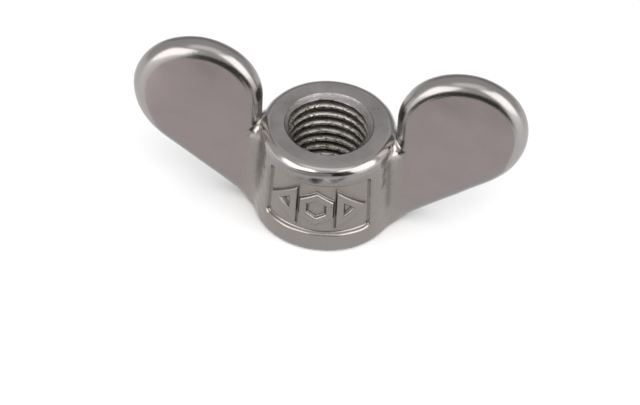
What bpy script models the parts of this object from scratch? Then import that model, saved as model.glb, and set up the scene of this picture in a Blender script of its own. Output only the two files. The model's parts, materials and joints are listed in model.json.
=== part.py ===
"""An M16 wing nut, cast in one piece, faced flat on both ends of its hub and tapped right through.

The origin is the middle of the bearing face, +Z runs up the axis of the thread, the wings reach
out along +X and -X, and the sunk panel with the raised marks is on the -Y side of the hub.
"""

import math

import bmesh
import bpy
from mathutils import Matrix, Vector

MM = 0.001

# Hub: a slightly tapered boss, wider at the bearing face
HUB_HEIGHT = 19.2 * MM
HUB_BASE_RADIUS = 12.85 * MM
HUB_TOP_RADIUS = 12.0 * MM
HUB_TOP_ROUNDING = 1.5 * MM
HUB_BASE_ROUNDING = 0.75 * MM
HUB_SEGMENTS = 48
ROUNDING_STEPS = 4

# Wings: flat plates with a fully rounded rim and a straight lower edge
SPAN = 70.0 * MM
OVERALL_HEIGHT = 34.7 * MM
WING_THICKNESS = 4.8 * MM
CROWN_RADIUS = 11.5 * MM
FLANK_RADIUS = 14.6 * MM
LOWER_EDGE_ANGLE = math.radians(37.5)
OUTLINE_STEP = math.radians(10.0)
RIM_STEPS = 8

# Root of the wing: a fillet flares it into the hub and fades out above the hub's top face
ROOT_FILLET = 3.0 * MM
ROOT_STEPS = 4
ROOT_FADE_LOW = 17.3 * MM
ROOT_FADE_HIGH = 19.8 * MM
ROOT_END = 9.9 * MM

# Thread: ISO metric coarse, M16 x 2, with a countersink at each mouth
THREAD_DIAMETER = 16.0 * MM
THREAD_PITCH = 2.0 * MM
THREAD_FLANK_ANGLE = math.radians(30.0)
THREAD_SEGMENTS = 30
THREAD_OVERRUN = 2.11 * MM
TOP_MOUTH_DIAMETER = 16.2 * MM
BASE_MOUTH_DIAMETER = 16.2 * MM

# Sunk panel and its three raised marks, measured along the face of the hub and up it
PANEL_WIDTH = 21.1 * MM
PANEL_LOW = 4.0 * MM
PANEL_HIGH = 15.5 * MM
PANEL_CORNER = 1.2 * MM
PANEL_DEPTH = 0.6 * MM
ARROW_SIZE = (5.5 * MM, 8.2 * MM)
HEXAGON_SIZE = (6.2 * MM, 7.1 * MM)
MARK_STROKE = 1.25 * MM
MARK_SPACING = 6.5 * MM
MARK_RELIEF = 0.55 * MM

MACHINING_ALLOWANCE = 1.5 * MM
OVERLAP = 0.4 * MM
WELD = 0.001 * MM
FACING_WIDTH = 80.0 * MM
SHARP_ANGLE = math.radians(35.0)
STEEL_COLOUR = (0.42, 0.40, 0.39, 1.0)
STEEL_ROUGHNESS = 0.35


def clear_scene():
    for thing in list(bpy.data.objects):
        bpy.data.objects.remove(thing)


def stainless_steel():
    material = bpy.data.materials.new("stainless_steel")
    material.use_nodes = True
    shader = material.node_tree.nodes["Principled BSDF"]
    shader.inputs["Base Color"].default_value = STEEL_COLOUR
    shader.inputs["Metallic"].default_value = 1.0
    shader.inputs["Roughness"].default_value = STEEL_ROUGHNESS
    return material


def add_object(name, bm):
    """Turn a bmesh into an object with outward faces, smooth except at sharp edges."""
    bmesh.ops.recalc_face_normals(bm, faces=bm.faces)
    mesh = bpy.data.meshes.new(name)
    bm.to_mesh(mesh)
    bm.free()
    mesh.shade_smooth()
    mesh.set_sharp_from_angle(angle=SHARP_ANGLE)
    thing = bpy.data.objects.new(name, mesh)
    bpy.context.collection.objects.link(thing)
    return thing


def shape_with(body, name, bm, operation):
    """Join or cut the body with a helper solid, which is left out of the finished part."""
    helper = add_object(name, bm)
    helper.hide_render = True
    helper.display_type = "WIRE"
    modifier = body.modifiers.new(name, "BOOLEAN")
    modifier.operation = operation
    modifier.solver = "EXACT"
    modifier.object = helper


def arc(centre, radius, start, end, steps=None):
    """Points along an arc in the plane of an outline, both ends included."""
    steps = steps or max(1, round(abs(end - start) / OUTLINE_STEP))
    angles = [start + (end - start) * i / steps for i in range(steps + 1)]
    return [centre + radius * Vector((math.cos(a), math.sin(a))) for a in angles]


def turned(profile):
    """Solid of revolution about Z from (radius, height) points that run from axis to axis."""
    bm = bmesh.new()
    verts = [bm.verts.new((radius, 0.0, height)) for radius, height in profile]
    edges = [bm.edges.new(pair) for pair in zip(verts, verts[1:])]
    bmesh.ops.spin(bm, geom=verts + edges, axis=(0, 0, 1), cent=(0, 0, 0),
                   angle=math.tau, steps=HUB_SEGMENTS)
    bmesh.ops.remove_doubles(bm, verts=bm.verts, dist=WELD)
    return bm


def slice_at(bm, point, normal):
    """Add edges where a plane crosses the mesh."""
    bmesh.ops.bisect_plane(bm, geom=bm.verts[:] + bm.edges[:] + bm.faces[:],
                           plane_co=point, plane_no=normal)


def hub_radius(height):
    """Radius of the tapered side of the hub."""
    straight = HUB_HEIGHT - HUB_TOP_ROUNDING
    return HUB_BASE_RADIUS + (HUB_TOP_RADIUS - HUB_BASE_RADIUS) * height / straight


def hub():
    """The solid boss with rounded edges, left long below the bearing face."""
    base = Vector((HUB_BASE_RADIUS - HUB_BASE_ROUNDING, HUB_BASE_ROUNDING))
    top = Vector((HUB_TOP_RADIUS - HUB_TOP_ROUNDING, HUB_HEIGHT - HUB_TOP_ROUNDING))
    profile = [(0.0, -MACHINING_ALLOWANCE), (base.x, -MACHINING_ALLOWANCE)]
    profile += arc(base, HUB_BASE_ROUNDING, -math.pi / 2, 0.0, ROUNDING_STEPS - 1)
    profile += arc(top, HUB_TOP_ROUNDING, 0.0, math.pi / 2, ROUNDING_STEPS)
    profile.append((0.0, HUB_HEIGHT))
    return turned(profile)


def wing_outline():
    """Middle line of the rounded rim, half a thickness inside the wing's outline."""
    half = WING_THICKNESS / 2
    height = OVERALL_HEIGHT - CROWN_RADIUS
    crown = Vector((SPAN / 2 - CROWN_RADIUS, height))
    flank = Vector((SPAN / 2 - FLANK_RADIUS, height))
    points = arc(flank, FLANK_RADIUS - half, LOWER_EDGE_ANGLE - math.pi / 2, 0.0)
    points += arc(crown, CROWN_RADIUS - half, 0.0, math.pi)[1:]
    # down the inner side into the hub, then back to the start of the straight lower edge
    shoulder = HUB_HEIGHT - HUB_TOP_ROUNDING - half
    drop = (points[0].x - ROOT_END) * math.tan(LOWER_EDGE_ANGLE)
    points += [Vector((points[-1].x, shoulder)), Vector((ROOT_END, shoulder)),
               Vector((ROOT_END, points[0].y - drop))]
    return points


def root_fillet():
    """Centre of the root fillet in plan, and how far it reaches towards the axis."""
    side = hub_radius(HUB_HEIGHT / 2)
    centre_y = WING_THICKNESS / 2 + ROOT_FILLET
    centre_x = math.sqrt((side + ROOT_FILLET) ** 2 - centre_y ** 2)
    return centre_x, centre_y, centre_x * ROOT_FILLET / (side + ROOT_FILLET)


def flare_root(bm):
    """Thicken the plate towards the hub along the root fillet."""
    half = WING_THICKNESS / 2
    centre_x, centre_y, reach = root_fillet()
    widest = math.asin(reach / ROOT_FILLET)
    for i in range(ROOT_STEPS + 1):
        station = centre_x - ROOT_FILLET * math.sin(widest * i / ROOT_STEPS)
        slice_at(bm, (station, 0, 0), (1, 0, 0))
    for height in (ROOT_FADE_LOW, ROOT_FADE_HIGH):
        slice_at(bm, (0, 0, height), (0, 0, 1))
    for vert in bm.verts:
        inward = min(max(centre_x - vert.co.x, 0.0), reach)
        flared = centre_y - math.sqrt(ROOT_FILLET ** 2 - inward ** 2)
        fade = (ROOT_FADE_HIGH - vert.co.z) / (ROOT_FADE_HIGH - ROOT_FADE_LOW)
        fade = min(max(fade, 0.0), 1.0)
        vert.co.y *= 1.0 + (flared / half - 1.0) * fade


def wing(turn):
    """One wing as a closed plate, turned about the axis of the thread."""
    half = WING_THICKNESS / 2
    outline = wing_outline()
    count = len(outline)
    bm = bmesh.new()
    rings = []
    for step in range(RIM_STEPS + 1):
        tilt = math.pi * (step / RIM_STEPS - 0.5)
        ring = []
        for i, point in enumerate(outline):
            along = (outline[(i + 1) % count] - outline[i - 1]).normalized()
            spot = point + Vector((along.y, -along.x)) * half * math.cos(tilt)
            ring.append(bm.verts.new((spot.x, half * math.sin(tilt), spot.y)))
        rings.append(ring)
    for near, far in zip(rings, rings[1:]):
        for i in range(count):
            bm.faces.new((near[i - 1], near[i], far[i], far[i - 1]))
    bm.faces.new(rings[0])
    bm.faces.new(rings[-1])
    flare_root(bm)
    bmesh.ops.triangulate(bm, faces=bm.faces)
    bmesh.ops.rotate(bm, verts=bm.verts, matrix=Matrix.Rotation(turn, 3, "Z"))
    return bm


def facing_block():
    """The stock that facing takes off below the bearing face."""
    bm = bmesh.new()
    bmesh.ops.create_cube(bm, size=FACING_WIDTH)
    bmesh.ops.translate(bm, verts=bm.verts, vec=(0, 0, -FACING_WIDTH / 2))
    return bm


def slab(outline, shallow, deep, stroke=None):
    """Extrude a flat outline of (along, height) points; a stroke leaves only its border."""
    bm = bmesh.new()
    face = bm.faces.new([bm.verts.new((x, deep, z)) for x, z in outline])
    if stroke:
        face.normal_update()
        bmesh.ops.inset_region(bm, faces=[face], thickness=stroke, use_boundary=True,
                               use_even_offset=True)
        bm.faces.remove(face)
    raised = bmesh.ops.extrude_face_region(bm, geom=bm.faces[:])["geom"]
    verts = [item for item in raised if isinstance(item, bmesh.types.BMVert)]
    bmesh.ops.translate(bm, verts=verts, vec=(0, shallow - deep, 0))
    return bm


def wrap_on_hub(bm):
    """Bend a flat piece round the -Y side: x runs round the hub and y is the depth in it."""
    middle = hub_radius(HUB_HEIGHT / 2)
    step = math.tau / HUB_SEGMENTS
    count = math.ceil(PANEL_WIDTH / 2 / middle / step)
    for i in range(-count, count + 1):
        slice_at(bm, (i * step * middle, 0, 0), (1, 0, 0))
    for vert in bm.verts:
        angle = vert.co.x / middle
        radius = hub_radius(vert.co.z) - vert.co.y
        vert.co = Vector((radius * math.sin(angle), -radius * math.cos(angle), vert.co.z))
    bmesh.ops.triangulate(bm, faces=bm.faces)
    return bm


def panel():
    """Cutter for the sunk panel, with rounded corners."""
    side = PANEL_WIDTH / 2 - PANEL_CORNER
    low = PANEL_LOW + PANEL_CORNER
    high = PANEL_HIGH - PANEL_CORNER
    outline = []
    for i, corner in enumerate([(side, high), (-side, high), (-side, low), (side, low)]):
        start = i * math.pi / 2
        outline += arc(Vector(corner), PANEL_CORNER, start, start + math.pi / 2, 3)
    return wrap_on_hub(slab(outline, -MACHINING_ALLOWANCE, PANEL_DEPTH))


def mark(sides, heading, along, size):
    """A raised ring with straight sides that fills a box of the given width and height."""
    corners = arc(Vector((0.0, 0.0)), 1.0, heading, heading + math.tau, sides)[:-1]
    low = Vector((min(x for x, y in corners), min(y for x, y in corners)))
    high = Vector((max(x for x, y in corners), max(y for x, y in corners)))
    middle = (PANEL_LOW + PANEL_HIGH) / 2
    outline = [(along + ((x - low.x) / (high.x - low.x) - 0.5) * size[0],
                middle + ((y - low.y) / (high.y - low.y) - 0.5) * size[1]) for x, y in corners]
    deep = PANEL_DEPTH + OVERLAP
    return wrap_on_hub(slab(outline, PANEL_DEPTH - MARK_RELIEF, deep, MARK_STROKE))


def countersink(height, diameter, direction):
    """Right-angled cone that opens a mouth of the thread; direction is 1 up and -1 down."""
    wide = diameter / 2 + MACHINING_ALLOWANCE
    profile = [(0.0, height + direction * MACHINING_ALLOWANCE),
               (wide, height + direction * MACHINING_ALLOWANCE),
               (0.0, height + direction * (MACHINING_ALLOWANCE - wide))]
    return turned(profile)


def tap():
    """Threaded core: one pitch of the profile swept up a helix past both ends of the hub."""
    root = THREAD_DIAMETER / 2
    sharp_height = THREAD_PITCH / 2 / math.tan(THREAD_FLANK_ANGLE)
    crest = root - sharp_height * 5 / 8
    flank = THREAD_PITCH * 5 / 16
    root_flat = THREAD_PITCH / 8
    crest_flat = THREAD_PITCH / 4
    heights = [0.0, crest_flat, crest_flat + flank, crest_flat + flank + root_flat, THREAD_PITCH]
    radii = [crest, crest, root, root, crest]
    turns = math.ceil((HUB_HEIGHT + 2 * THREAD_OVERRUN) / THREAD_PITCH) + 1
    bm = bmesh.new()
    verts = [bm.verts.new((r, 0, h - THREAD_OVERRUN - THREAD_PITCH))
             for r, h in zip(radii, heights)]
    edges = [bm.edges.new(pair) for pair in zip(verts, verts[1:])]
    steps = turns * THREAD_SEGMENTS
    bmesh.ops.spin(bm, geom=verts + edges, axis=(0, 0, 1), cent=(0, 0, 0),
                   dvec=(0, 0, THREAD_PITCH / THREAD_SEGMENTS), angle=math.tau * turns,
                   steps=steps)
    bmesh.ops.remove_doubles(bm, verts=bm.verts, dist=WELD)
    ends = bmesh.ops.holes_fill(bm, edges=[e for e in bm.edges if e.is_boundary])["faces"]
    bmesh.ops.poke(bm, faces=ends)
    return bm


def main():
    clear_scene()
    nut = add_object("wing_nut", hub())
    nut.data.materials.append(stainless_steel())
    shape_with(nut, "right_wing", wing(0.0), "UNION")
    shape_with(nut, "left_wing", wing(math.pi), "UNION")
    shape_with(nut, "facing", facing_block(), "DIFFERENCE")
    shape_with(nut, "panel", panel(), "DIFFERENCE")
    shape_with(nut, "left_arrow", mark(3, math.pi, -MARK_SPACING, ARROW_SIZE), "UNION")
    shape_with(nut, "hexagon", mark(6, math.pi / 2, 0.0, HEXAGON_SIZE), "UNION")
    shape_with(nut, "right_arrow", mark(3, 0.0, MARK_SPACING, ARROW_SIZE), "UNION")
    shape_with(nut, "top_mouth", countersink(HUB_HEIGHT, TOP_MOUTH_DIAMETER, 1), "DIFFERENCE")
    shape_with(nut, "base_mouth", countersink(0.0, BASE_MOUTH_DIAMETER, -1), "DIFFERENCE")
    shape_with(nut, "tap", tap(), "DIFFERENCE")


main()
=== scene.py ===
import json
import math

import bmesh
import bpy
import numpy as np
from bpy.props import FloatProperty, FloatVectorProperty, IntProperty, PointerProperty
from bpy.types import Operator, Panel, PropertyGroup
from mathutils import Matrix, Vector


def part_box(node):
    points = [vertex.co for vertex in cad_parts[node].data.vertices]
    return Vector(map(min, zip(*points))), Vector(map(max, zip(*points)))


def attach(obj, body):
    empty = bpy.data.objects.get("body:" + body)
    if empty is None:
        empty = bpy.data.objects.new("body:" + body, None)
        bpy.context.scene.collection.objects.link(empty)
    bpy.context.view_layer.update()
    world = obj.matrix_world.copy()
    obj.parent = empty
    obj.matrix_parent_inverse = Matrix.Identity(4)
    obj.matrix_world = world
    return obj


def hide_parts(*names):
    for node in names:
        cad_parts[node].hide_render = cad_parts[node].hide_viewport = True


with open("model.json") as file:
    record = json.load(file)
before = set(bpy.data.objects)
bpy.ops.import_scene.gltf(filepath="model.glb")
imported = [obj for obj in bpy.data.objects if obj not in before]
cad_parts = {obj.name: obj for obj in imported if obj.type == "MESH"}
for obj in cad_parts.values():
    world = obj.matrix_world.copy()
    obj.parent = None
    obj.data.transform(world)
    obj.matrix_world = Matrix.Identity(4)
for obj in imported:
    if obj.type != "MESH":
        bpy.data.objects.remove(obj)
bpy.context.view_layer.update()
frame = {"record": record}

bl_info = {
    "name": "Cast Wing Nut",
    "version": (1, 0, 0),
    "blender": (4, 5, 0),
    "location": "View3D > Sidebar > Wing Nut",
    "description": "Casts, faces and taps a steel wing nut and sets it in a small studio",
    "category": "Add Mesh",
}

MM = 0.001
NUT_NODE = "wing_nut"

# Mesh: how the surface is placed on the field, and what counts as a turned face
SWELLS = 9
SWELL_SEED = 11
SWELL_RANGE = (0.7, 1.6)
FINER = 2.6
SETTLE_ROUNDS = 8
SETTLE_PULL = 0.5
FACE_TOLERANCE = 0.004 * MM
FACE_UPRIGHT = 0.9995
SHARP_ANGLE = math.radians(32.0)

# Painted shade in hollows, round the marks, in a band beside each wing root, under the rolled top
# edge and in the thread roots, and darker pits: their places and how much of the steel each covers
# there
SHADE_BAND_TURN = math.radians(69.0)
SHADE_BAND_WIDTH = math.radians(3.0)
LINE_DROP = 0.25 * MM
LINE_WIDTH = 0.4 * MM
HOLLOW_SHADE = 0.85
MARK_FOOT_SHADE = 0.4
SHADE_BAND_DARKNESS = 0.55
EDGE_LINE_SHADE = 0.8
PIT_FILM = 0.8
ROOT_SHADE_DARKNESS = 0.92

# Stage
SOFTBOX_DISTANCE = 0.8
FILL_DISTANCE = 1.2
FLOOR_GAP = 0.02 * MM
FLAG_LEVEL = 0.05
CARD_FRONT = -43 * MM
CARD_BACK = -2 * MM
CARD_HEIGHT = 0.5 * MM
FLAG_FAR = -165 * MM
FLAG_HEIGHT = 50 * MM
BACK_CARD_PLACE = 0.5
AIM_HEIGHT = 8.24 * MM

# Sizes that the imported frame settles
nut_low, nut_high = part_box(NUT_NODE)
mount_places = {mount["name"]: mount["pos_m"] for mount in frame["record"]["mounts"]}
TOP_FACE = mount_places["top_face"][2]


# ---------------------------------------------------------------- settings

def length(name, description, default):
    """A length in metres for a property group."""
    return FloatProperty(name=name, description=description, default=default, min=0.0,
                         unit="LENGTH", subtype="DISTANCE", precision=5)


def angle(name, description, degrees):
    return FloatProperty(name=name, description=description, default=math.radians(degrees),
                         unit="ROTATION", subtype="ANGLE")


def share(name, description, default):
    return FloatProperty(name=name, description=description, default=default, min=0.0,
                         max=1.0, subtype="FACTOR")


def amount(name, description, default):
    return FloatProperty(name=name, description=description, default=default, min=0.0)


def colour(name, description, default):
    return FloatVectorProperty(name=name, description=description, default=default, size=3,
                               min=0.0, max=1.0, subtype="COLOR")


class WingNutCasting(PropertyGroup):
    """The hub and the wings as they leave the mould."""
    span: length("Span", "Across the tips of both wings", nut_high.x - nut_low.x)
    height: length("Height", "From the bearing face to the top of the wings", nut_high.z)
    hub_height: length("Hub height", "From the bearing face to the top face", TOP_FACE)
    base_radius: length("Base radius", "Hub radius at the bearing face", nut_high.y)
    top_radius: length("Top radius", "Hub radius at the top face", 12.0 * MM)
    top_rounding: length("Top rounding", "Rounding of the hub's top edge", 1.5 * MM)
    base_rounding: length("Base rounding", "Rounding of the hub's bottom edge", 0.7 * MM)
    thickness: length("Wing thickness", "Thickness of a wing, whose rim is fully round", 4.8 * MM)
    crown_radius: length("Crown radius", "Radius of the top of a wing", 11.5 * MM)
    flank_radius: length("Flank radius", "Radius of the outer lower part of a wing", 14.6 * MM)
    lower_edge: angle("Lower edge", "Slope of the straight lower edge", 37.5)
    root_fillet: length("Root fillet", "Fillet between a wing and the side of the hub", 3.0 * MM)
    crease_fillet: length("Crease fillet", "Fillet between a wing and the top edge", 0.75 * MM)
    fade_depth: length("Fade depth", "Height over which one fillet turns into the other", 2.6 * MM)
    rolled_edge: length("Rolled edge", "How far the top edge stands out over the front", 0.2 * MM)
    rolled_drop: length("Rolled drop", "From the top face to the underside of that edge", 1.05 * MM)
    rolled_tilt: length("Rolled tilt", "How much lower its underside is at the left", 1.2 * MM)
    rolled_width: length("Rolled width", "Height over which its underside runs in", 0.7 * MM)
    rolled_return: length("Rolled return", "Height over which the side comes back out", 2.4 * MM)
    rolled_turn: angle("Rolled turn", "Where round the hub the edge stands out most", 2.0)
    rolled_reach: angle("Rolled reach", "How far round the hub the edge stands out", 32.0)
    ripple: length("Ripple", "Depth of the slow unevenness of the cast surface", 0.025 * MM)
    ripple_length: length("Ripple length", "Distance between two swells", 8.0 * MM)
    unevenness: share("Unevenness", "Share of finer swells on the hub", 1.0)
    spacing: length("Spacing", "Distance between mesh points on the plain surfaces", 0.43 * MM)
    fine_spacing: length("Fine spacing", "Distance between mesh points on the panel", 0.165 * MM)


class WingNutPanel(PropertyGroup):
    """The sunk panel on the front of the hub and the raised marks in it."""
    width: length("Width", "Along the face of the hub", 21.1 * MM)
    low: length("Low edge", "Height of the lower edge", 4.0 * MM)
    high: length("High edge", "Height of the upper edge", 15.5 * MM)
    corner: length("Corner", "Corner radius", 1.2 * MM)
    depth: length("Depth", "Depth of the floor", 0.65 * MM)
    draft: angle("Draft", "Slope of the walls", 20.0)
    mark_draft: angle("Mark draft", "Slope of the sides of the marks", 10.0)
    lip: length("Lip", "Rounding where the walls meet the hub", 0.3 * MM)
    relief: length("Relief", "Height of the marks above the floor", 0.62 * MM)
    stroke: length("Stroke", "Width of the lines of the marks", 1.3 * MM)
    edge: length("Edge", "Rounding of the marks and of their feet", 0.26 * MM)
    spacing: length("Spacing", "Distance between the middles of two marks", 6.5 * MM)
    arrow_width: length("Arrow width", "Width of the outer marks", 5.5 * MM)
    arrow_height: length("Arrow height", "Height of the outer marks", 8.2 * MM)
    hexagon_width: length("Hexagon width", "Width of the middle mark", 6.2 * MM)
    hexagon_height: length("Hexagon height", "Height of the middle mark", 7.1 * MM)


class WingNutThread(PropertyGroup):
    """The tapped hole and the countersinks at its mouths."""
    diameter: length("Diameter", "Major diameter", 15.7 * MM)
    pitch: length("Pitch", "Rise of the thread in one turn", 2.0 * MM)
    start: length("Start", "How far the tap runs past the bearing face", 4.11 * MM)
    wear: length("Wear", "Rounding of the crests and the roots", 0.06 * MM)
    top_mouth: length("Top mouth", "Diameter of the countersink in the top face", 15.6 * MM)
    base_mouth: length("Base mouth", "Diameter of the countersink below", 16.2 * MM)
    sink_angle: angle("Countersink", "Slope of the countersinks away from the axis", 60.0)
    lip: length("Lip", "Depth of the steep edge around the top mouth", 0.25 * MM)
    lip_angle: angle("Lip angle", "Slope of the steep edge away from the axis", 35.0)
    columns: IntProperty(name="Columns", description="Mesh columns in one turn", default=96)
    rows: IntProperty(name="Rows", description="Mesh rows in one pitch", default=14)


class WingNutFinish(PropertyGroup):
    """Colours and roughness of the steel."""
    cast_colour: colour("Cast colour", "Tumbled cast steel", (0.310, 0.293, 0.286))
    hub_colour: colour("Hub colour", "Warmer cast steel of the hub", (0.325, 0.298, 0.280))
    # Painted highlight: a brighter, more neutral steel colour for the hub's top edge
    rim_highlight_colour: colour("Rim colour", "Rubbed steel of the hub's top edge", (0.37, 0.355, 0.345))
    flat_colour: colour("Flat colour", "Steel of the flats of the wings", (0.335, 0.285, 0.280))
    cast_roughness: share("Cast roughness", "Roughness of the tumbled surface", 0.225)
    faced_colour: colour("Faced colour", "Steel turned flat", (0.335, 0.317, 0.313))
    faced_roughness: share("Faced roughness", "Roughness of the turned faces", 0.33)
    thread_colour: colour("Thread colour", "Steel cut by the tap", (0.52, 0.485, 0.44))
    thread_roughness: share("Thread roughness", "Roughness of the thread", 0.24)
    # Dark colour for the pits and for the painted shade in hollows, round the marks, beside the
    # wing roots and under the top edge
    pit_and_shade_colour: colour("Soil colour", "Dark film left in pits and corners", (0.10, 0.095, 0.09))
    # Painted shade in the thread roots; the same dark also colours pits and specks in the thread
    thread_shade_and_pit_colour: colour("Oil colour", "Cutting oil left in the thread", (0.035, 0.03, 0.026))
    # Radii between which the painted shade in the thread roots darkens
    root_shade_start: length("Oil start", "Radius where the oil in the thread starts", 7.08 * MM)
    root_shade_end: length("Oil end", "Radius where the oil is thickest", 7.35 * MM)
    grain_size: length("Grain size", "Size of the grain that the mould leaves", 0.2 * MM)


class WingNutStudio(PropertyGroup):
    """Floor, lights and camera."""
    floor_colour: colour("Floor colour", "Pale painted board", (0.82, 0.82, 0.82))
    floor_radius: length("Floor radius", "Radius of the round board", 800 * MM)
    world_level: amount("Surroundings", "Brightness of the room", 0.72)
    left_light: amount("Left softbox", "Radiance of the softbox left of the camera", 2.6)
    right_light: amount("Right softbox", "Radiance of the softbox on the right", 2.6)
    top_light: amount("Top softbox", "Radiance of the softbox above the camera", 0.75)
    fill_light: amount("Floor light", "Light that only the floor receives", 1.3)
    grey_level: amount("Grey card", "Radiance of the grey card in front of the nut", 0.85)
    back_level: amount("Back card", "Radiance of the grey card behind the nut", 0.42)
    lens: FloatProperty(name="Lens", description="Focal length in millimetres", default=197.0)
    azimuth: angle("Azimuth", "Camera direction round the nut", 6.59)
    elevation: angle("Elevation", "Camera direction above the floor", 45.07)
    roll: angle("Roll", "Turn of the camera about its own axis", 3.58)
    distance: length("Distance", "From the camera to the nut", 623.4 * MM)
    aim_right: FloatProperty(name="Aim right", description="Aim to the right of the nut",
                             default=-1.14 * MM, unit="LENGTH")
    aim_up: FloatProperty(name="Aim up", description="Aim above the nut",
                          default=-6.13 * MM, unit="LENGTH")


# ---------------------------------------------------------------- distance fields

def joined(a, b, radius):
    """Distance to two solids joined with a fillet."""
    inner = np.hypot(np.maximum(radius - a, 0.0), np.maximum(radius - b, 0.0))
    return np.maximum(radius, np.minimum(a, b)) - inner


def shared(a, b, radius):
    """Distance to what two solids share, with a rounded edge where their faces meet."""
    outer = np.hypot(np.maximum(radius + a, 0.0), np.maximum(radius + b, 0.0))
    return np.minimum(-radius, np.maximum(a, b)) + outer


def softer_max(a, b, width):
    """The larger of two values, with the change from one to the other softened."""
    return (a + b + np.sqrt((a - b) ** 2 + width ** 2)) / 2.0


def eased(value, start, end):
    """0 before start, 1 after end and smooth between them."""
    t = np.clip((value - start) / (end - start), 0.0, 1.0)
    return t * t * (3.0 - 2.0 * t)


def polygon_distance(u, v, corners):
    """Distance to a convex polygon whose corners run anticlockwise, sharp at its corners."""
    sides = []
    for (u0, v0), (u1, v1) in zip(corners, corners[1:] + corners[:1]):
        run = math.hypot(u1 - u0, v1 - v0)
        sides.append(((u - u0) * (v1 - v0) - (v - v0) * (u1 - u0)) / run)
    return np.maximum.reduce(sides)


def regular_polygon(sides, heading, width, height):
    """Corners of a polygon that fills a box, with one corner along the heading."""
    turns = [heading + math.tau * i / sides for i in range(sides)]
    points = np.array([(math.cos(t), math.sin(t)) for t in turns])
    low, high = points.min(0), points.max(0)
    points = ((points - low) / (high - low) - 0.5) * (width, height)
    return [tuple(point) for point in points]


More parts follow.
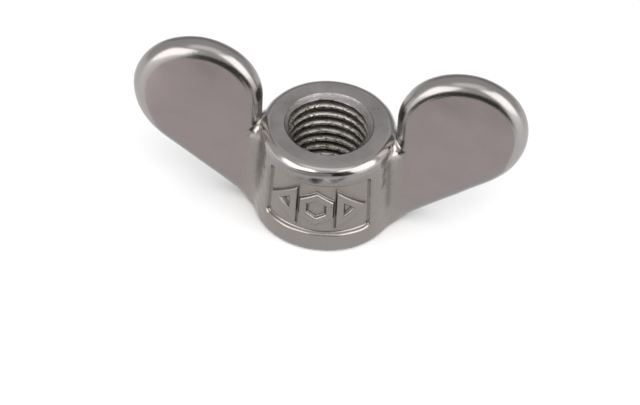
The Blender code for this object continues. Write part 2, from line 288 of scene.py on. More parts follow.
class NutField:
    """Distance to the surface of the cast and faced nut, in metres, negative in the metal."""

    def __init__(self, casting, panel):
        self.casting = casting
        self.panel = panel
        rng = np.random.default_rng(SWELL_SEED)
        swells = rng.normal(size=(SWELLS, 3))
        swells /= np.linalg.norm(swells, axis=1)[:, None]
        stretch = rng.uniform(*SWELL_RANGE, SWELLS) * math.tau / casting.ripple_length
        phases = rng.uniform(0, math.tau, SWELLS)
        self.swells = np.column_stack([swells * stretch[:, None], phases])

    def side_radius(self, z):
        """Radius of the tapered side of the hub."""
        c = self.casting
        straight = c.hub_height - c.top_rounding
        return c.base_radius + (c.top_radius - c.base_radius) * z / straight

    def rolled_edge(self, x, y, z):
        """Depth below the underside of the rolled top edge, and how much of it is left there."""
        c = self.casting
        turn = np.arctan2(x, -y)
        below = c.hub_height - z - c.rolled_drop + c.rolled_tilt * np.sin(turn)
        return below, np.exp(-((turn - c.rolled_turn) / c.rolled_reach) ** 2)

    def hub(self, x, y, z):
        """Tapered hub with its rounded top edge, which stands out a little over the front."""
        c = self.casting
        below, stands_out = self.rolled_edge(x, y, z)
        dip = c.rolled_edge * eased(below, -c.rolled_width / 2, c.rolled_width / 2)
        dip = dip * (1.0 - eased(below, c.rolled_width, c.rolled_return)) * stands_out
        side = np.hypot(x, y) - self.side_radius(z) + dip
        return shared(side, z - c.hub_height, c.top_rounding)

    def rim_line(self, x, z):
        """Distance in the wing's own plane from the flat middle that its round rim surrounds."""
        c = self.casting
        half = c.thickness / 2
        up = z - (c.height - c.crown_radius)
        crown = x - (c.span / 2 - c.crown_radius)
        flank = x - (c.span / 2 - c.flank_radius)
        cos, sin = math.cos(c.lower_edge), math.sin(c.lower_edge)
        straight = flank * sin - up * cos
        past = flank * cos + up * sin < 0.0
        outer = np.where(past, straight, np.hypot(flank, up)) - (c.flank_radius - half)
        shoulder = z - (c.hub_height - c.top_rounding - half)
        neck = np.minimum(-crown - (c.crown_radius - half), shoulder)
        top = np.hypot(crown, up) - (c.crown_radius - half)
        return np.where(up > 0.0, top, np.maximum(outer, neck))

    def wings(self, x, y, z):
        """Both wings, flat with a fully round rim."""
        rim = np.maximum(self.rim_line(np.abs(x), z), 0.0)
        return np.hypot(rim, y) - self.casting.thickness / 2

    def ripple(self, x, y, z):
        """Slow unevenness of the cast skin, none on the face that is turned flat."""
        c = self.casting
        wave = sum(np.cos(kx * x + ky * y + kz * z + phase) for kx, ky, kz, phase in self.swells)
        fine = sum(np.cos(FINER * (ky * x - kx * y + kz * z) + phase)
                   for kx, ky, kz, phase in self.swells)
        on_hub = 1.0 - eased(np.hypot(x, y) - self.side_radius(z), 0.5 * MM, 3.0 * MM)
        wave = wave + fine * on_hub * c.unevenness
        below = eased(c.hub_height - z, 0.1 * MM, 0.8 * MM)
        beside = eased(np.hypot(x, y), c.top_radius, c.top_radius + 1.0 * MM)
        return wave / math.sqrt(SWELLS) * c.ripple * np.maximum(below, beside)

    def body(self, x, y, z):
        """Hub and wings with the fillets between them."""
        c = self.casting
        fade = eased(z, c.hub_height - c.fade_depth, c.hub_height)
        fillet = c.root_fillet + (c.crease_fillet - c.root_fillet) * fade
        whole = joined(self.hub(x, y, z), self.wings(x, y, z), fillet)
        return whole + self.ripple(x, y, z)

    def along(self, x, y):
        """Distance round the hub from the middle of the panel."""
        return np.arctan2(x, -y) * self.side_radius(self.casting.hub_height / 2)

    def pocket(self, x, y, z):
        """The space that the sunk panel leaves, with sloping walls."""
        p = self.panel
        deep = np.maximum(self.side_radius(z) - np.hypot(x, y), -p.depth)
        beyond = np.abs(self.along(x, y)) - p.width / 2 + p.corner
        above = np.abs(z - (p.low + p.high) / 2) - (p.high - p.low) / 2 + p.corner
        corner = np.hypot(np.maximum(beyond, 0.0), np.maximum(above, 0.0))
        wall = corner + np.minimum(np.maximum(beyond, above), 0.0) - p.corner
        wall = wall * math.cos(p.draft) + deep * math.sin(p.draft)
        return shared(wall, deep - p.depth, p.lip)

    def raised(self, x, y, z):
        """Height above the floor of the panel."""
        return self.panel.depth - self.side_radius(z) + np.hypot(x, y)

    def marks(self, x, y, z):
        """Two arrow rings that point outwards, with a hexagon ring between them."""
        p = self.panel
        raised = self.raised(x, y, z)
        along, up = self.along(x, y), z - (p.low + p.high) / 2
        shapes = [(3, math.pi, -p.spacing, p.arrow_width, p.arrow_height),
                  (6, math.pi / 2, 0.0, p.hexagon_width, p.hexagon_height),
                  (3, 0.0, p.spacing, p.arrow_width, p.arrow_height)]
        rings = []
        for sides, heading, middle, width, height in shapes:
            corners = regular_polygon(sides, heading, width, height)
            outline = polygon_distance(along - middle, up, corners)
            rings.append(np.abs(outline + p.stroke / 2) - p.stroke / 2)
        wall = np.minimum.reduce(rings) + (raised - p.relief) * math.tan(p.mark_draft)
        return shared(wall, raised - p.relief, p.edge)

    def __call__(self, x, y, z):
        p = self.panel
        metal = shared(self.body(x, y, z), -self.pocket(x, y, z), p.lip)
        metal = joined(metal, self.marks(x, y, z), p.edge)
        return shared(metal, -z, self.casting.base_rounding)

    def slope(self, points, step=0.01 * MM):
        """Direction in which the distance grows, for each row of points."""
        parts = []
        for axis in np.eye(3) * step:
            parts.append(self(*(points + axis).T) - self(*(points - axis).T))
        return np.stack(parts, -1) / (2.0 * step)

    def hollow(self, points, step=0.05 * MM):
        """How sharply the surface is hollowed out, as one over the radius."""
        around = -6.0 * self(*points.T)
        for axis in np.eye(3) * step:
            around += self(*(points + axis).T) + self(*(points - axis).T)
        return -around / step ** 2


# ---------------------------------------------------------------- mesh making

def graded_axis(low, high, fine_low, fine_high, spacing, fine_spacing):
    """Grid positions that stand closer together over one stretch."""
    before = np.arange(fine_low - spacing, low - spacing, -spacing)[::-1]
    fine = np.arange(fine_low, fine_high, fine_spacing)
    after = np.arange(fine_high, high + spacing, spacing)
    return np.concatenate([before, fine, after])


def surface_net(field, axes):
    """Points and quads around the zero level of a field, one point in each crossed cell."""
    inside = field(*np.meshgrid(*axes, indexing="ij")) < 0.0
    cells = tuple(count - 1 for count in inside.shape)
    filled = np.zeros(cells, np.int8)
    for i, j, k in np.ndindex(2, 2, 2):
        filled += inside[i:i + cells[0], j:j + cells[1], k:k + cells[2]]
    crossed = (filled > 0) & (filled < 8)
    number = np.full(cells, -1)
    number[crossed] = np.arange(crossed.sum())
    where = np.argwhere(crossed)
    points = np.stack([(axis[cell] + axis[cell + 1]) / 2 for axis, cell in zip(axes, where.T)], -1)
    quads = []
    for axis in range(3):
        second, third = np.eye(3, dtype=int)[(axis + 1) % 3], np.eye(3, dtype=int)[(axis + 2) % 3]
        ahead = np.roll(inside, -1, axis)
        for crossing, entering in ((inside & ~ahead, False), (ahead & ~inside, True)):
            edges = np.argwhere(crossing)
            ring = [edges - second - third, edges - third, edges, edges - second]
            if entering:
                ring.reverse()
            quads.append(np.stack([number[tuple(cell.T)] for cell in ring], -1))
    return points, np.concatenate(quads)


def settle(points, quads, field, rounds, pull):
    """Even out the mesh and put every point on the zero level of the field."""
    ends = np.concatenate([quads, np.roll(quads, -1, 1)], 0).ravel()
    starts = np.concatenate([np.roll(quads, -1, 1), quads], 0).ravel()
    count = np.bincount(ends, minlength=len(points))[:, None]
    for i in range(rounds):
        if pull and i < rounds - 3:
            sums = [np.bincount(ends, points[starts, axis], len(points)) for axis in range(3)]
            points = points + pull * (np.stack(sums, -1) / count - points)
        slope = field.slope(points)
        steep = np.maximum((slope ** 2).sum(-1), 0.1)
        points = points - slope * (field(*points.T) / steep)[:, None]
    return points


def mesh_from(name, points, faces):
    mesh = bpy.data.meshes.new(name)
    mesh.from_pydata(points.tolist(), [], faces.tolist())
    mesh.validate()
    mesh.shade_smooth()
    return mesh


def blank_mesh(casting, panel):
    """The casting with its faced ends, before the hole is made."""
    field = NutField(casting, panel)
    coarse = 1.0
    spacing, fine = casting.spacing * coarse, casting.fine_spacing * coarse
    half_panel = panel.width / 2
    front = casting.base_radius
    axes = [graded_axis(nut_low.x - spacing, nut_high.x + spacing, -half_panel, half_panel,
                        spacing, fine),
            graded_axis(nut_low.y - spacing, nut_high.y + spacing, -front, -front / 2,
                        spacing, fine),
            graded_axis(nut_low.z - spacing, nut_high.z + spacing, panel.low - panel.depth,
                        casting.hub_height + fine, spacing, fine)]
    points, quads = surface_net(field, axes)
    points = settle(points, quads, field, SETTLE_ROUNDS, SETTLE_PULL)
    return mesh_from("cast_blank", points, quads)


def bore_radius(thread, hub_height, z, turned):
    """Radius of the cutter at a height, where turned is the height measured along the helix."""
    major = thread.diameter / 2
    minor = major - thread.pitch * math.sqrt(3.0) / 2 * 5 / 8
    place = np.mod(turned + thread.start, thread.pitch)
    root = thread.pitch * (0.25 + 5 / 16 + 1 / 16)
    flank = major + (thread.pitch / 16 - np.abs(place - root)) * math.sqrt(3.0)
    radius = -softer_max(-softer_max(flank, minor, thread.wear), -major, thread.wear)
    edge = hub_height - thread.lip
    slope = np.where(z > edge, math.tan(thread.lip_angle), math.tan(thread.sink_angle))
    return np.maximum.reduce([radius, thread.top_mouth / 2 + (z - edge) * slope,
                              thread.base_mouth / 2 - z * math.tan(thread.sink_angle)])


def bore_mesh(thread, hub_height):
    """Closed cutter for the tapped hole, laid out along the helix so that its edges are crisp."""
    past = thread.pitch
    turns = math.ceil((hub_height + thread.start + past) / thread.pitch)
    rows = turns * thread.rows + 1
    row, column = np.meshgrid(np.arange(rows), np.arange(thread.columns), indexing="ij")
    turned = row * thread.pitch / thread.rows - thread.start
    z = turned + thread.pitch * column / thread.columns
    radius = bore_radius(thread, hub_height, np.clip(z, -past, hub_height + past), turned)
    swing = column * math.tau / thread.columns
    points = np.stack([radius * np.cos(swing), radius * np.sin(swing), z], -1).reshape(-1, 3)
    faces = []
    for i in range(rows - 1):
        for j in range(thread.columns):
            over, shift = (j + 1, 0) if j + 1 < thread.columns else (0, thread.rows)
            if i + shift + 1 >= rows:
                continue
            corners = ((i, j), (i + shift, over), (i + shift + 1, over), (i + 1, j))
            faces.append([a * thread.columns + b for a, b in corners])
    mesh = mesh_from("tap", points, np.array(faces))
    bm = bmesh.new()
    bm.from_mesh(mesh)
    loose = [vert for vert in bm.verts if not vert.link_faces]
    bmesh.ops.delete(bm, geom=loose, context="VERTS")
    ends = bmesh.ops.holes_fill(bm, edges=[edge for edge in bm.edges if edge.is_boundary])
    bmesh.ops.poke(bm, faces=ends["faces"])
    bmesh.ops.recalc_face_normals(bm, faces=bm.faces)
    bm.to_mesh(mesh)
    bm.free()
    return mesh


def add_object(name, mesh):
    thing = bpy.data.objects.new(name, mesh)
    bpy.context.scene.collection.objects.link(thing)
    return thing


def cut_bore(nut, tap):
    """Cut the tapped hole and keep the result as the nut's mesh."""
    modifier = nut.modifiers.new("tapped hole", "BOOLEAN")
    modifier.operation = "DIFFERENCE"
    modifier.solver = "EXACT"
    modifier.material_mode = "TRANSFER"
    modifier.object = tap
    depsgraph = bpy.context.evaluated_depsgraph_get()
    made = bpy.data.meshes.new_from_object(nut.evaluated_get(depsgraph))
    nut.modifiers.remove(modifier)
    nut.data = made
    bpy.data.objects.remove(tap)
    if not made.polygons:
        raise RuntimeError("the tapped hole left no metal")


CAST, FACED, TAPPED = range(3)


def read_column(items, name, kind, width=1):
    """One property of every item of a mesh as an array."""
    values = np.empty(len(items) * width, kind)
    items.foreach_get(name, values)
    return values.reshape(-1, width) if width > 1 else values


def part_faces(mesh, steels, top):
    """Give the tapped, the turned and the cast faces their materials, and return which is which."""
    kinds = read_column(mesh.polygons, "material_index", np.int32)
    tapped = kinds == mesh.materials.find(steels[TAPPED].name)
    height = read_column(mesh.polygons, "center", float, 3)[:, 2]
    upright = np.abs(read_column(mesh.polygons, "normal", float, 3)[:, 2])
    level = np.minimum(np.abs(height), np.abs(height - top)) < FACE_TOLERANCE
    kinds = np.where(level & (upright > FACE_UPRIGHT), FACED, CAST).astype(np.int32)
    kinds[tapped] = TAPPED
    mesh.materials.clear()
    for steel in steels:
        mesh.materials.append(steel)
    mesh.polygons.foreach_set("material_index", kinds)
    return kinds


def true_normals(mesh, field, points, kinds):
    """Shade the cast skin and the turned faces with the exact slope of the field."""
    slope = field.slope(points)
    slope /= np.linalg.norm(slope, axis=1)[:, None]
    directions = slope[read_column(mesh.loops, "vertex_index", np.int32)]
    sizes = read_column(mesh.polygons, "loop_total", np.int32)
    directions[np.repeat(kinds == TAPPED, sizes)] = 0.0
    mesh.set_sharp_from_angle(angle=SHARP_ANGLE)
    mesh.normals_split_custom_set(directions.tolist())


def skin_masks(field, points):
    """Where the skin is grainy, darkened by painted shade, brightened by a painted highlight, or of
    another tint, from 0 to 1 at each point.
    """
    x, y, z = points.T
    hub, wings = field.hub(x, y, z), field.wings(x, y, z)
    rim = eased(z, TOP_FACE - 3.0 * MM, TOP_FACE - 2.0 * MM)
    on_hub = (1.0 - eased(hub, 0.1 * MM, 1.5 * MM)) * (1.0 - rim)
    at_hub = 1.0 - eased(hub, 0.0, 1.0 * MM)

    fillet = np.minimum(hub, wings) - joined(hub, wings, field.casting.root_fillet)
    root = eased(fillet, 0.02 * MM, 0.45 * MM) * eased(TOP_FACE - z, 1.5 * MM, 4.0 * MM)
    sunk = eased(-field.pocket(x, y, z), -0.05 * MM, 0.10 * MM)

    # Painted shade: darker steel in the hollows of the surface
    hollow = eased(field.hollow(points) * MM, 0.8, 4.0)
    floor = 1.0 - eased(field.raised(x, y, z), 0.2 * MM, 0.5 * MM)
    # Painted shade on the panel floor round the feet of the marks
    around = sunk * floor * (1.0 - eased(field.marks(x, y, z), 0.5 * MM, 1.3 * MM))
    # Painted shade: a dark upright band on the hub beside each wing root
    beside = (np.abs(np.arctan2(x, -y)) - SHADE_BAND_TURN) / SHADE_BAND_WIDTH
    shade_band = np.exp(-beside ** 2) * eased(z, 4.0 * MM, 7.0 * MM) * (1.0 - rim) * on_hub
    below, stands_out = field.rolled_edge(x, y, z)
    # Painted shade: a dark line under the rolled top edge
    line = np.exp(-((below - LINE_DROP) / LINE_WIDTH) ** 2) * stands_out * at_hub
    # These four masks are painted shade, put into the steel colour
    painted_shade = [HOLLOW_SHADE * hollow, MARK_FOOT_SHADE * around, SHADE_BAND_DARKNESS * shade_band, EDGE_LINE_SHADE * line]

    middle = eased(-field.rim_line(np.abs(x), z), -0.2 * MM, 0.3 * MM)
    return {"grain": np.maximum.reduce([root, sunk, 0.2 * on_hub]),
            "flat": middle * eased(hub, 0.5 * MM, 3.0 * MM),
            # The rim mask paints a highlight colour on the hub's top edge, and lowers its roughness
            # there
            "rim": rim * at_hub,
            "hub": 1.0 - eased(hub, 0.5 * MM, 4.0 * MM),
            "painted_shade": np.maximum.reduce(painted_shade)}


def dress_surfaces(mesh, field, steels):
    """Materials, true normals and masks for the finished mesh."""
    kinds = part_faces(mesh, steels, field.casting.hub_height)
    points = read_column(mesh.vertices, "co", float, 3)
    true_normals(mesh, field, points, kinds)
    for name, values in skin_masks(field, points).items():
        attribute = mesh.attributes.new(name, "FLOAT", "POINT")
        attribute.data.foreach_set("value", np.clip(values, 0.0, 1.0))


# ---------------------------------------------------------------- shader groups

def new_group(name, inputs, outputs):
    """An empty shader group; inputs are (name, kind, default) and outputs (name, kind)."""
    tree = bpy.data.node_groups.new(name, "ShaderNodeTree")
    for label, kind, default in inputs:
        socket = tree.interface.new_socket(label, in_out="INPUT", socket_type=kind)
        socket.default_value = default
    for label, kind in outputs:
        tree.interface.new_socket(label, in_out="OUTPUT", socket_type=kind)
    return tree, tree.nodes.new("NodeGroupInput"), tree.nodes.new("NodeGroupOutput")


FLOAT, COLOUR = "NodeSocketFloat", "NodeSocketColor"


def add_node(tree, kind, **values):
    """A node with properties set by keyword and inputs by (name or number) in the inputs value."""
    node = tree.nodes.new(kind)
    for socket, value in values.pop("inputs", {}).items():
        if isinstance(value, bpy.types.NodeSocket):
            tree.links.new(value, node.inputs[socket])
        else:
            node.inputs[socket].default_value = value
    for name, value in values.items():
        setattr(node, name, value)
    return node


def math_node(tree, operation, *values, clamp=False):
    inputs = dict(enumerate(values))
    node = add_node(tree, "ShaderNodeMath", operation=operation, use_clamp=clamp, inputs=inputs)
    return node.outputs[0]


def remap(tree, value, low, high, to_low=0.0, to_high=1.0):
    inputs = {"Value": value, "From Min": low, "From Max": high, "To Min": to_low,
              "To Max": to_high}
    return add_node(tree, "ShaderNodeMapRange", inputs=inputs).outputs["Result"]


def noise(tree, vector, scale, detail=3.0, rough=0.5):
    inputs = {"Vector": vector, "Scale": scale, "Detail": detail, "Roughness": rough}
    return add_node(tree, "ShaderNodeTexNoise", inputs=inputs).outputs["Fac"]


def position(tree):
    return add_node(tree, "ShaderNodeTexCoord").outputs["Object"]


def cast_grain_group():
    """Grain of a cast skin: fine bumps and scattered pits."""
    tree, given, made = new_group(
        "Cast grain",
        [("Scale", FLOAT, 6000.0), ("Grain", FLOAT, 0.5), ("Pits", FLOAT, 0.5)],
        [("Height", FLOAT), ("Pit mask", FLOAT), ("Speckle", FLOAT)])
    place = position(tree)
    scale, grain, pits = (given.outputs[name] for name in ("Scale", "Grain", "Pits"))
    fine = noise(tree, place, scale, 4.0, 0.62)
    lumps = noise(tree, place, math_node(tree, "MULTIPLY", scale, 0.28), 3.0, 0.55)
    speckle = math_node(tree, "ADD", math_node(tree, "MULTIPLY", fine, 0.6),
                        math_node(tree, "MULTIPLY", lumps, 0.4))
    cells = add_node(tree, "ShaderNodeTexVoronoi", feature="F1", inputs={
        "Vector": place, "Scale": math_node(tree, "MULTIPLY", scale, 0.22)})
    rare = noise(tree, place, math_node(tree, "MULTIPLY", scale, 0.06), 2.0, 0.5)
    hole = remap(tree, cells.outputs["Distance"], 0.10, 0.24, 1.0, 0.0)
    hole = math_node(tree, "MULTIPLY", hole, remap(tree, rare, 0.50, 0.62))
    hole = math_node(tree, "MULTIPLY", hole, pits)
    raised = math_node(tree, "MULTIPLY", math_node(tree, "SUBTRACT", speckle, 0.5), grain)
    tree.links.new(math_node(tree, "SUBTRACT", raised, hole), made.inputs["Height"])
    tree.links.new(hole, made.inputs["Pit mask"])
    tree.links.new(speckle, made.inputs["Speckle"])
    return tree


def steel_tone_group():
    """Colour of bare steel with faint cloudy changes, darkened where the mask says: pits, and
    painted shade where a material passes it in.
    """
    tree, given, made = new_group(
        "Steel tone",
        [("Steel", COLOUR, (0.4, 0.4, 0.4, 1.0)), ("Soil", COLOUR, (0.1, 0.1, 0.1, 1.0)),
         ("Cloud scale", FLOAT, 220.0), ("Cloudiness", FLOAT, 0.1), ("Soil mask", FLOAT, 0.0)],
        [("Colour", COLOUR)])
    cloud = noise(tree, position(tree), given.outputs["Cloud scale"], 4.0, 0.55)
    swing = math_node(tree, "MULTIPLY", math_node(tree, "SUBTRACT", cloud, 0.5),
                      given.outputs["Cloudiness"])
    tone = add_node(tree, "ShaderNodeHueSaturation", inputs={
        "Color": given.outputs["Steel"], "Value": math_node(tree, "ADD", swing, 1.0)})
    mix = add_node(tree, "ShaderNodeMix", data_type="RGBA", inputs={
        0: given.outputs["Soil mask"], 6: tone.outputs["Color"], 7: given.outputs["Soil"]})
    tree.links.new(mix.outputs[2], made.inputs["Colour"])
    return tree


def tool_marks_group():
    """Fine rings that a turning tool or a tap leaves round the axis, with faint scratches."""
    tree, given, made = new_group(
        "Tool marks",
        [("Rings per metre", FLOAT, 9000.0), ("Depth", FLOAT, 0.5), ("Scratches", FLOAT, 0.3)],
        [("Height", FLOAT), ("Streak", FLOAT), ("Radius", FLOAT), ("Above", FLOAT)])
    place = position(tree)
    parts = add_node(tree, "ShaderNodeSeparateXYZ", inputs={0: place})
    flat = add_node(tree, "ShaderNodeCombineXYZ", inputs={
        0: parts.outputs[0], 1: parts.outputs[1]})
    radius = add_node(tree, "ShaderNodeVectorMath", operation="LENGTH",
                      inputs={0: flat.outputs[0]}).outputs["Value"]
    path = math_node(tree, "ADD", radius, math_node(tree, "MULTIPLY", parts.outputs[2], 0.7))
    lines = add_node(tree, "ShaderNodeCombineXYZ", inputs={0: path})
    rings = noise(tree, lines.outputs[0], given.outputs["Rings per metre"], 3.0, 0.7)
    scratch = noise(tree, place, 1700.0, 5.0, 0.75)
    height = math_node(tree, "ADD", math_node(tree, "MULTIPLY", rings, given.outputs["Depth"]),
                       math_node(tree, "MULTIPLY", scratch, given.outputs["Scratches"]))
    tree.links.new(height, made.inputs["Height"])
    tree.links.new(rings, made.inputs["Streak"])
    tree.links.new(radius, made.inputs["Radius"])
    tree.links.new(parts.outputs[2], made.inputs["Above"])
    return tree


def place_group(tree, group, **values):
    node = tree.nodes.new("ShaderNodeGroup")
    node.node_tree = group
    for name, value in values.items():
        socket = node.inputs[name.replace("_", " ")]
        if isinstance(value, bpy.types.NodeSocket):
            tree.links.new(value, socket)
        else:
            socket.default_value = value
    return node


def new_material(name):
    material = bpy.data.materials.new(name)
    material.use_nodes = True
    return material, material.node_tree, material.node_tree.nodes["Principled BSDF"]


def bump(tree, shader, height, strength, distance):
    node = add_node(tree, "ShaderNodeBump", inputs={
        "Height": height, "Strength": strength, "Distance": distance})
    tree.links.new(node.outputs[0], shader.inputs["Normal"])


def mask_value(tree, name):
    return add_node(tree, "ShaderNodeAttribute", attribute_name=name).outputs["Fac"]


def mixed_colour(tree, amount, first, second):
    node = add_node(tree, "ShaderNodeMix", data_type="RGBA",
                    inputs={0: amount, 6: first, 7: second})
    return node.outputs[2]


def cast_steel(finish, groups):
    """Tumbled casting: satin on the open faces, grainy in the fillets and the panel."""
    material, tree, shader = new_material("tumbled_cast_steel")
    mask = mask_value(tree, "grain")
    grain = place_group(tree, groups["grain"], Scale=1.0 / finish.grain_size,
                        Grain=remap(tree, mask, 0.0, 1.0, 0.04, 1.0),
                        Pits=remap(tree, mask, 0.0, 1.0, 0.10, 0.6))
    darkening = math_node(tree, "MULTIPLY", grain.outputs["Pit mask"], PIT_FILM)
    # Painted shade from the skin masks joins the darker pits
    darkening = math_node(tree, "MAXIMUM", darkening, mask_value(tree, "painted_shade"))
    steel = mixed_colour(tree, mask_value(tree, "hub"), (*finish.cast_colour, 1.0),
                         (*finish.hub_colour, 1.0))
    steel = mixed_colour(tree, mask_value(tree, "flat"), steel, (*finish.flat_colour, 1.0))
    # Painted highlight: a brighter steel colour on the hub's top edge
    rim = mask_value(tree, "rim")
    steel = mixed_colour(tree, rim, steel, (*finish.rim_highlight_colour, 1.0))
    tone = place_group(tree, groups["tone"], Steel=steel,
                       Soil=(*finish.pit_and_shade_colour, 1.0), Cloudiness=0.16, Soil_mask=darkening)
    tree.links.new(tone.outputs["Colour"], shader.inputs["Base Color"])
    rough = remap(tree, grain.outputs["Speckle"], 0.35, 0.65, -0.03, 0.05)
    rough = math_node(tree, "ADD", rough, remap(tree, mask, 0.0, 1.0, 0.0, 0.06))
    rough = math_node(tree, "ADD", rough, remap(tree, rim, 0.0, 1.0, 0.0, -0.05))
    rough = math_node(tree, "ADD", rough, finish.cast_roughness)
    tree.links.new(rough, shader.inputs["Roughness"])
    bump(tree, shader, grain.outputs["Height"], 1.0, 0.05 * MM)
    shader.inputs["Metallic"].default_value = 1.0
    return material


def faced_steel(finish, groups):
    """Ends of the hub, turned flat and then tumbled."""
    material, tree, shader = new_material("faced_steel")
    marks = place_group(tree, groups["tool"], Rings_per_metre=7000.0, Depth=0.5, Scratches=0.5)
    grain = place_group(tree, groups["grain"], Scale=1.0 / finish.grain_size, Grain=0.3,
                        Pits=0.9)
    darkening = math_node(tree, "MULTIPLY", grain.outputs["Pit mask"], PIT_FILM)
    tone = place_group(tree, groups["tone"], Steel=(*finish.faced_colour, 1.0),
                       Soil=(*finish.pit_and_shade_colour, 1.0), Cloudiness=0.8, Soil_mask=darkening)
    tree.links.new(tone.outputs["Colour"], shader.inputs["Base Color"])
    rough = remap(tree, marks.outputs["Streak"], 0.3, 0.7, -0.03, 0.05)
    tree.links.new(math_node(tree, "ADD", rough, finish.faced_roughness),
                   shader.inputs["Roughness"])
    height = math_node(tree, "ADD", marks.outputs["Height"], grain.outputs["Height"])
    bump(tree, shader, height, 1.0, 0.012 * MM)
    shader.inputs["Metallic"].default_value = 1.0
    return material


def tapped_steel(finish, groups):
    """Bright cut metal, torn on the first turn and with painted shade darkening the roots."""
    material, tree, shader = new_material("tapped_steel")
    marks = place_group(tree, groups["tool"], Rings_per_metre=9000.0, Depth=0.5, Scratches=0.6)
    torn = remap(tree, marks.outputs["Above"], TOP_FACE - 2.6 * MM, TOP_FACE - 1.0 * MM)
    grain = place_group(tree, groups["grain"], Scale=1.0 / finish.grain_size,
                        Grain=remap(tree, torn, 0.0, 1.0, 0.9, 1.6),
                        Pits=remap(tree, torn, 0.0, 1.0, 0.6, 1.0))
    speckle = math_node(tree, "SUBTRACT", grain.outputs["Speckle"], 0.5)
    ragged = math_node(tree, "MULTIPLY", speckle, remap(tree, torn, 0.0, 1.0, 2.6 * MM, 6.0 * MM))
    reach = math_node(tree, "ADD", marks.outputs["Radius"], ragged)
    # Painted shade: the roots are darkened outwards from a ragged radius, except near the top face
    oil = remap(tree, reach, finish.root_shade_start, finish.root_shade_end)
    height = math_node(tree, "SUBTRACT", marks.outputs["Above"], ragged)
    inside = remap(tree, height, TOP_FACE - 1.2 * MM, TOP_FACE - 0.9 * MM, 1.0, 0.0)
    oil = math_node(tree, "MULTIPLY", math_node(tree, "MULTIPLY", oil, inside), ROOT_SHADE_DARKNESS)
    pits = math_node(tree, "MULTIPLY", grain.outputs["Pit mask"], PIT_FILM)
    darkening = math_node(tree, "MAXIMUM", oil, pits)
    specks = remap(tree, grain.outputs["Speckle"], 0.46, 0.50, 0.9, 0.0)
    specks = math_node(tree, "MULTIPLY", specks, remap(tree, inside, 0.0, 1.0, 0.3, 1.0))
    darkening = math_node(tree, "MAXIMUM", darkening, specks)
    steel = mixed_colour(tree, inside, (*finish.faced_colour, 1.0), (*finish.thread_colour, 1.0))
    tone = place_group(tree, groups["tone"], Steel=steel,
                       Soil=(*finish.thread_shade_and_pit_colour, 1.0), Cloudiness=0.3, Soil_mask=darkening)
    tree.links.new(tone.outputs["Colour"], shader.inputs["Base Color"])
    rough = remap(tree, marks.outputs["Streak"], 0.3, 0.7, -0.04, 0.08)
    tree.links.new(math_node(tree, "ADD", rough, finish.thread_roughness),
                   shader.inputs["Roughness"])
    height = math_node(tree, "ADD", marks.outputs["Height"], grain.outputs["Height"])
    bump(tree, shader, height, 1.0, 0.07 * MM)
    shader.inputs["Metallic"].default_value = 1.0
    return material


def floor_board(studio):
    """Pale painted board with the faintest mottling."""
    material, tree, shader = new_material("pale_board")
    mottle = noise(tree, position(tree), 90.0, 3.0, 0.5)
    tone = add_node(tree, "ShaderNodeHueSaturation", inputs={
        "Color": (*studio.floor_colour, 1.0), "Value": remap(tree, mottle, 0.3, 0.7, 0.985, 1.0)})
    tree.links.new(tone.outputs["Color"], shader.inputs["Base Color"])
    shader.inputs["Roughness"].default_value = 0.35
    return material


# ---------------------------------------------------------------- stage

def direction(azimuth, elevation):
    """Unit vector from the nut towards a place; azimuth 0 is the front and 90 degrees is +X."""
    return Vector((math.sin(azimuth) * math.cos(elevation),
                   -math.cos(azimuth) * math.cos(elevation), math.sin(elevation)))


def add_softbox(name, radiance, azimuth, elevation, size, distance=SOFTBOX_DISTANCE):
    """Area light that faces the nut, in degrees round it and above the floor."""
    light = bpy.data.lights.new(name, "AREA")
    light.shape = "RECTANGLE"
    light.size, light.size_y = size
    light.energy = radiance * math.pi * size[0] * size[1]
    box = bpy.data.objects.new(name, light)
    away = direction(math.radians(azimuth), math.radians(elevation))
    box.location = away * distance
    box.rotation_euler = away.to_track_quat("Z", "Y").to_euler()
    box.visible_camera = False
    bpy.context.scene.collection.objects.link(box)
    return box


def add_floor(studio):
    bm = bmesh.new()
    bmesh.ops.create_circle(bm, cap_ends=True, radius=studio.floor_radius, segments=96)
    mesh = bpy.data.meshes.new("floor")
    bm.to_mesh(mesh)
    bm.free()
    floor = add_object("floor", mesh)
    floor.location.z = nut_low.z - FLOOR_GAP
    mesh.materials.append(floor_board(studio))


def add_card(name, level, near, far):
    """Card that only reflections see, with an even light of its own.

    Each end is the card's left and right edge in X, and its place in Y and Z.
    """
    (near_left, near_right, near_y, near_z), (far_left, far_right, far_y, far_z) = near, far
    corners = [(near_left, near_y, near_z), (near_right, near_y, near_z),
               (far_right, far_y, far_z), (far_left, far_y, far_z)]
    mesh = bpy.data.meshes.new(name)
    mesh.from_pydata(corners, [], [(0, 1, 2, 3)])
    card = add_object(name, mesh)
    material, tree, shader = new_material(name)
    shader.inputs["Base Color"].default_value = (0.0, 0.0, 0.0, 1.0)
    shader.inputs["Specular IOR Level"].default_value = 0.0
    shader.inputs["Emission Color"].default_value = (1.0, 1.0, 1.0, 1.0)
    shader.inputs["Emission Strength"].default_value = level
    mesh.materials.append(material)
    card.visible_camera = False
    card.visible_diffuse = False
    card.visible_shadow = False


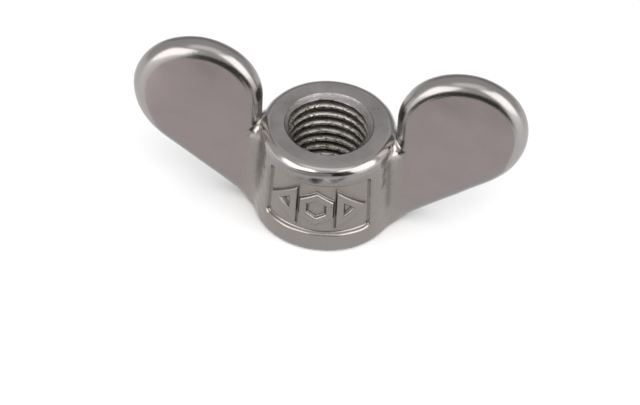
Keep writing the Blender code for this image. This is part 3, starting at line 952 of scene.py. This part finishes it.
def add_camera(studio):
    away = direction(studio.azimuth, studio.elevation)
    level = Vector((math.cos(studio.azimuth), math.sin(studio.azimuth), 0.0))
    upright = away.cross(level)
    right = math.cos(studio.roll) * level + math.sin(studio.roll) * upright
    up = math.cos(studio.roll) * upright - math.sin(studio.roll) * level
    camera = bpy.data.objects.new("camera", bpy.data.cameras.new("camera"))
    camera.data.lens = studio.lens
    camera.data.clip_start = 10 * MM
    camera.data.clip_end = 5.0
    turn = Matrix((right, up, away)).transposed().to_4x4()
    middle = Vector((0.0, 0.0, AIM_HEIGHT))
    place = middle + right * studio.aim_right + up * studio.aim_up + away * studio.distance
    camera.matrix_world = Matrix.Translation(place) @ turn
    bpy.context.scene.collection.objects.link(camera)
    bpy.context.scene.camera = camera


def set_world(studio):
    world = bpy.data.worlds.new("studio")
    world.use_nodes = True
    background = world.node_tree.nodes["Background"]
    background.inputs["Color"].default_value = (1.0, 1.0, 1.0, 1.0)
    background.inputs["Strength"].default_value = studio.world_level
    bpy.context.scene.world = world


# ---------------------------------------------------------------- operators

class WINGNUT_OT_nut(Operator):
    """Cast the nut, cut its thread and finish the steel"""
    bl_idname = "wingnut.add_nut"
    bl_label = "Wing Nut"

    def execute(self, context):
        scene = context.scene
        casting, panel, thread = scene.wingnut_casting, scene.wingnut_panel, scene.wingnut_thread
        finish = scene.wingnut_finish
        groups = {"grain": cast_grain_group(), "tone": steel_tone_group(),
                  "tool": tool_marks_group()}
        steels = [cast_steel(finish, groups), faced_steel(finish, groups),
                  tapped_steel(finish, groups)]
        nut = add_object("wing_nut_steel", blank_mesh(casting, panel))
        nut.data.materials.append(steels[CAST])
        tap = add_object("tap", bore_mesh(thread, casting.hub_height))
        tap.data.materials.append(steels[TAPPED])
        cut_bore(nut, tap)
        dress_surfaces(nut.data, NutField(casting, panel), steels)
        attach(nut, "root")
        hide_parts(NUT_NODE)
        return {"FINISHED"}


class WINGNUT_OT_studio(Operator):
    """Lay the floor, hang the lights and place the camera"""
    bl_idname = "wingnut.add_studio"
    bl_label = "Studio"

    def execute(self, context):
        studio = context.scene.wingnut_studio
        context.scene.view_settings.view_transform = "Standard"
        add_floor(studio)
        set_world(studio)
        add_softbox("left_softbox", studio.left_light, azimuth=-39, elevation=17,
                    size=(0.72, 0.78))
        add_softbox("right_softbox", studio.right_light, azimuth=59, elevation=25,
                    size=(0.68, 0.76))
        add_softbox("top_softbox", studio.top_light, azimuth=10, elevation=70,
                    size=(0.75, 0.45))
        add_card("left_flag", FLAG_LEVEL, (-36 * MM, -2 * MM, CARD_FRONT, CARD_HEIGHT),
                 (-50 * MM, 60 * MM, FLAG_FAR, FLAG_HEIGHT))
        add_card("right_flag", FLAG_LEVEL, (8 * MM, 52 * MM, CARD_FRONT, CARD_HEIGHT),
                 (0.0, 117 * MM, FLAG_FAR, FLAG_HEIGHT))
        add_card("grey_card", studio.grey_level, (-37 * MM, 37 * MM, CARD_FRONT, CARD_HEIGHT),
                 (-37 * MM, 37 * MM, CARD_BACK, CARD_HEIGHT))
        add_card("back_card", studio.back_level, (-0.45, 0.45, BACK_CARD_PLACE, 0.06),
                 (-0.45, 0.45, BACK_CARD_PLACE, 0.38))
        fill = add_softbox("floor_light", studio.fill_light, azimuth=0, elevation=90,
                           size=(1.2, 1.2), distance=FILL_DISTANCE)
        fill.visible_glossy = False
        add_camera(studio)
        return {"FINISHED"}


class WINGNUT_PT_sidebar(Panel):
    """Steps that build the wing nut"""
    bl_idname = "WINGNUT_PT_sidebar"
    bl_label = "Wing Nut"
    bl_space_type = "VIEW_3D"
    bl_region_type = "UI"
    bl_category = "Wing Nut"

    def draw(self, context):
        column = self.layout.column()
        for step in STEPS:
            column.operator(step.bl_idname)


SETTINGS = {"wingnut_casting": WingNutCasting, "wingnut_panel": WingNutPanel,
            "wingnut_thread": WingNutThread, "wingnut_finish": WingNutFinish,
            "wingnut_studio": WingNutStudio}
STEPS = (WINGNUT_OT_nut, WINGNUT_OT_studio)


def register():
    for group in (*SETTINGS.values(), *STEPS, WINGNUT_PT_sidebar):
        bpy.utils.register_class(group)
    for name, group in SETTINGS.items():
        setattr(bpy.types.Scene, name, PointerProperty(type=group))


def unregister():
    for name in SETTINGS:
        delattr(bpy.types.Scene, name)
    for group in reversed((*SETTINGS.values(), *STEPS, WINGNUT_PT_sidebar)):
        bpy.utils.unregister_class(group)


def main():
    register()
    bpy.ops.wingnut.add_nut()
    bpy.ops.wingnut.add_studio()


if __name__ == "__main__":
    main()
